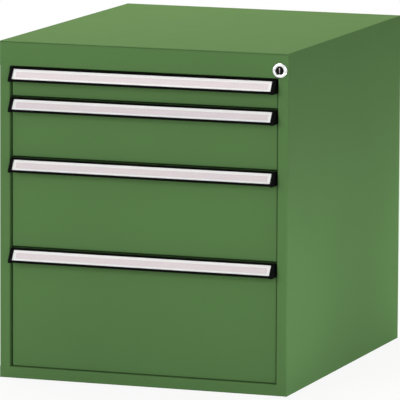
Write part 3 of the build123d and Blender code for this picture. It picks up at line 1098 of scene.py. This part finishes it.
@dataclass
class Drawer:
    """One drawer with its handle, label, tray and slides."""

    finishes: Finishes
    number: int
    screw: ScrewHead = ScrewHead(4.0 * MM, 1.8 * MM, 1.6 * MM, 1.0 * MM)
    screw_stations: tuple[float, ...] = (-225.0 * MM, -100.0 * MM, 60.0 * MM, 215.0 * MM)
    runner_sheet: float = 1.5 * MM
    hood_stations: tuple[float, ...] = (-170.0 * MM, 0.0, 170.0 * MM)
    hood_wall: float = 2.0 * MM

    @property
    def body(self) -> str:
        """Name of the drawer's body."""
        return f"drawer_{self.number}"

    @property
    def screw_home(self) -> Home:
        """Home of the drawer's screws."""
        return Home(self.body, "zinc_steel", self.finishes.zinc)

    def node(self, piece: str) -> str:
        """Name of one of the drawer's nodes."""
        return f"{self.body}_{piece}"

    def build(self) -> list[str]:
        """Dress the drawer's nodes, add its screws and give all their names."""
        return self.dress() + self.add_runner_screws() + self.add_hood_screws()

    def dress(self) -> list[str]:
        """Give every node of the drawer its finish.

        Returns:
            The names of the nodes.
        """
        low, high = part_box(self.node("label_card"))
        card = LabelCard(f"card_{self.number}", high.x, low.z, high.z)
        dressing = [
            (self.finishes.green, ["front"]),
            (self.finishes.grey, ["tray"]),
            (self.finishes.handle, ["handle"]),
            (self.finishes.plastic, ["left_end_cap", "right_end_cap"]),
            (self.finishes.cover, ["label_cover"]),
            (self.finishes.zinc, ["runners", "carriages", "lock_catch"]),
            (card.material(), ["label_card"]),
        ]
        names = []
        for material, pieces in dressing:
            names += paint(map(self.node, pieces), material)
        return names

    def add_runner_screws(self) -> list[str]:
        """Screw the runners to the tray.

        Returns:
            The names of the two rows of screws.
        """
        low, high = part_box(self.node("runners"))
        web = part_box(self.node("tray"))[1].x + self.runner_sheet
        along = np.array(self.screw_stations)
        names = []
        for side, axis, sign in (("right", Axis.RIGHT, 1), ("left", Axis.LEFT, -1)):
            seats = seats_at(sign * web, along, (low.z + high.z) / 2)
            heads = self.screw.build(self.node(f"{side}_runner_screws"), seats, axis, self.screw_home)
            names.append(heads.name)
        return names

    def add_hood_screws(self) -> list[str]:
        """Screw the handle's back wall to the front, under the hood.

        Returns:
            The name of the row of screws.
        """
        low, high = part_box(self.node("handle"))
        seats = seats_at(np.array(self.hood_stations), high.y - self.hood_wall, (low.z + high.z) / 2)
        return [self.screw.build(self.node("hood_screws"), seats, Axis.FRONT, self.screw_home).name]


@dataclass(frozen=True)
class Softbox:
    """Square area light aimed at a point."""

    name: str
    place: Triple
    aim: Triple
    side: float
    power: float
    colour: Triple = WHITE

    def build(self) -> None:
        """Hang the light."""
        data = bpy.data.lights.new(self.name, "AREA")
        data.size = self.side
        data.energy = self.power
        data.color = self.colour
        lamp = bpy.data.objects.new(self.name, data)
        lamp.location = self.place
        lamp.rotation_euler = (Vector(self.aim) - Vector(self.place)).to_track_quat("-Z", "Y").to_euler()
        bpy.context.scene.collection.objects.link(lamp)


@dataclass
class Studio:
    """White sweep, soft lights and the camera."""

    floor_half: float = 30.0
    floor_colour: Triple = (0.86, 0.86, 0.86)
    glow_near: float = 0.9
    glow_reach: float = 0.5
    glow_fade: float = 0.5
    glow_strength: float = 1.0
    ambient: float = 0.06
    lights: tuple[Softbox, ...] = (
        Softbox(
            "overhead", place=(-0.4, 0.5, 2.6), aim=UNIT_MIDDLE, side=1.7, power=65.0, colour=WARM_WHITE
        ),
        Softbox("front_left", place=(-2.2, -4.6, 1.6), aim=UNIT_MIDDLE, side=2.4, power=126.0),
        Softbox("front_high", place=(-0.6, -3.4, 4.0), aim=UNIT_MIDDLE, side=2.4, power=20.0),
        Softbox("front_right", place=(2.6, -3.6, 1.4), aim=UNIT_MIDDLE, side=2.0, power=45.0),
        Softbox("back_left", place=(-1.8, 3.2, 0.28), aim=UNIT_MIDDLE, side=0.5, power=30.0),
        Softbox("right_front", place=(0.8, -0.33, 0.1), aim=FRONT_FOOT, side=0.2, power=1.65),
        Softbox("right_back", place=(0.8, 0.5, 0.1), aim=BACK_FOOT, side=0.2, power=1.9),
    )
    camera_place: Triple = (2.942, -8.269, 1.567)
    camera_yaw: float = 0.342601
    camera_pitch: float = 0.146935
    camera_roll: float = 0.004775
    focal_pixels: float = 5270.3
    image_pixels: float = 400.0
    sensor: float = 36.0

    def build(self) -> None:
        """Lay the floor, surround it, hang the lights and set up the camera."""
        self.add_floor()
        self.add_world()
        for light in self.lights:
            light.build()
        self.add_camera()

    def add_floor(self) -> None:
        """Lay a pale floor that keeps the shadow and turns white to the camera away from the unit."""
        half = self.floor_half
        corners = [(-half, -half, 0.0), (half, -half, 0.0), (half, half, 0.0), (-half, half, 0.0)]
        mesh = bpy.data.meshes.new("floor")
        mesh.from_pydata(corners, [], [[0, 1, 2, 3]])
        floor = bpy.data.objects.new("floor", mesh)
        bpy.context.scene.collection.objects.link(floor)
        graph = ShaderGraph.of_material("floor_paper")
        matt = graph.shader("ShaderNodeBsdfDiffuse", {"Color": (*self.floor_colour, OPAQUE)})
        glow = graph.shader("ShaderNodeEmission", {"Strength": self.glow_strength})
        across, along, _ = graph.axes(graph.place())
        distance = (across * across + along * along).root()
        away = ((distance - self.glow_reach) / self.glow_fade).clamped()
        share = graph.backdrop_share() * (self.glow_near + away * (1.0 - self.glow_near))
        mixed = graph.mixed_shader(share, matt, glow)
        graph.node("ShaderNodeOutputMaterial", {}, {"Surface": mixed})
        mesh.materials.append(graph.owner)

    def add_world(self) -> None:
        """Surround the floor with white that the camera sees at full strength."""
        world = bpy.data.worlds.new("studio")
        bpy.context.scene.world = world
        graph = ShaderGraph(world)
        white = (*WHITE, OPAQUE)
        soft = graph.shader("ShaderNodeBackground", {"Color": white, "Strength": self.ambient})
        seen = graph.shader("ShaderNodeBackground", {"Color": white, "Strength": self.glow_strength})
        mixed = graph.mixed_shader(graph.backdrop_share(), soft, seen)
        graph.node("ShaderNodeOutputWorld", {}, {"Surface": mixed})

    def add_camera(self) -> None:
        """Set up the camera as the photo's perspective asks."""
        data = bpy.data.cameras.new("camera")
        data.sensor_width = self.sensor
        data.lens = self.focal_pixels / self.image_pixels * self.sensor
        camera = bpy.data.objects.new("camera", data)
        camera.location = self.camera_place
        level = Euler((math.pi / 2 - self.camera_pitch, 0.0, self.camera_yaw)).to_matrix()
        camera.rotation_euler = (level @ Matrix.Rotation(self.camera_roll, 3, "Z")).to_euler()
        bpy.context.scene.collection.objects.link(camera)
        bpy.context.scene.camera = camera
        bpy.context.scene.view_settings.view_transform = "Standard"


def main() -> None:
    """Build and dress the sub-assemblies in order, report their pieces, then light and frame them."""
    logging.basicConfig(level=logging.INFO, format="%(name)s: %(message)s")
    low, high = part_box("lock_rosette")
    centre = tuple((low + high) / 2)
    finishes = Finishes(centre)
    assemblies: list[Union[Cabinet, Lock, Drawer]] = [Cabinet(finishes), Lock(finishes, centre)]
    assemblies += [Drawer(finishes, number) for number in range(1, DRAWER_COUNT + 1)]
    for assembly in assemblies:
        for piece in assembly.build():
            LOG.info("%s: %s", type(assembly).__name__, piece)
    Studio().build()


if __name__ == "__main__":
    main()
